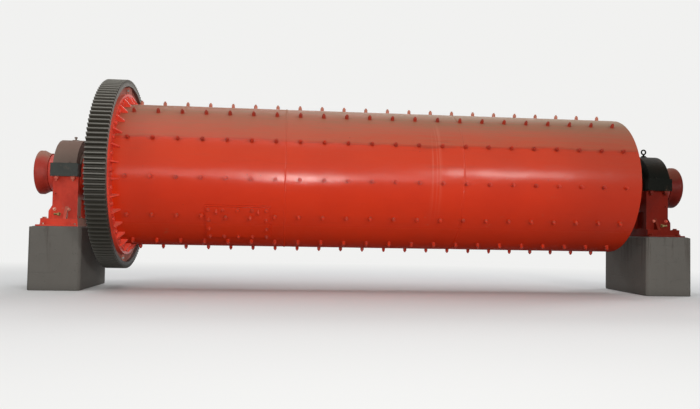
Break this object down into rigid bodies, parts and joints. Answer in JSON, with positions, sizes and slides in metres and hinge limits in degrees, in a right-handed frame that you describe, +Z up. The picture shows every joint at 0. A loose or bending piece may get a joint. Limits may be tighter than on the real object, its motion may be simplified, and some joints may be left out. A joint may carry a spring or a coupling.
{
  "type": "ball mill",
  "caption": "Horizontal grinding mill: a long liner-bolted steel drum with a girth gear at one end, turning on hollow trunnions in two capped pedestal bearings.",
  "frame": {"origin": "at ground level under the middle of the drum, halfway between the two bearings", "axes": "+X along the drum axis from the drive end to the free end, +Y away from the picture's viewer, +Z up"},
  "size_m": [7.302, 2.0796, 2.2898],
  "materials": {
    "drum_paint": "orange-red machine enamel, dusty on top, semi-gloss",
    "frame_paint": "red enamel over castings, semi-gloss",
    "head_paint": "dull red primer over cast heads",
    "cap_paint": "dark green-black enamel over castings",
    "gear_steel": "dark cast steel with machined tooth flanks",
    "journal_steel": "turned steel, greased",
    "bush_metal": "bearing bronze",
    "liner_steel": "wear-resistant steel plates, dull",
    "concrete": "cast concrete, formwork marks"
  },
  "bodies": {
    "stand": {"drive_end_pier": "concrete", "drive_end_sole_plate": "frame_paint", "drive_end_pedestal": "frame_paint", "drive_end_bush": "bush_metal", "drive_end_bearing_cap": "cap_paint", "drive_end_inner_seal": "frame_paint", "drive_end_outer_seal": "frame_paint", "drive_end_breather": "cap_paint", "free_end_pier": "concrete", "free_end_sole_plate": "frame_paint", "free_end_pedestal": "frame_paint", "free_end_bush": "bush_metal", "free_end_bearing_cap": "cap_paint", "free_end_inner_seal": "frame_paint", "free_end_outer_seal": "frame_paint", "free_end_eye_bolt": "cap_paint"},
    "drum": {"drive_end_shell_course": "drum_paint", "middle_shell_course": "drum_paint", "free_end_shell_course": "drum_paint", "shell_liner": "liner_steel", "manhole_pad": "drum_paint", "manhole_cover": "drum_paint", "drive_flange": "drum_paint", "girth_gear_front_half": "gear_steel", "girth_gear_back_half": "gear_steel", "drive_end_head": "head_paint", "drive_end_trunnion": "journal_steel", "drive_end_mouth_ring": "frame_paint", "free_end_head": "head_paint", "free_end_trunnion": "journal_steel", "free_end_mouth_ring": "frame_paint"}
  },
  "joints": [
    {"name": "drum_spin", "type": "hinge", "parent": "stand", "child": "drum", "pos_m": [0, 0, 1.25], "axis": [1, 0, 0], "continuous": true}
  ]
}
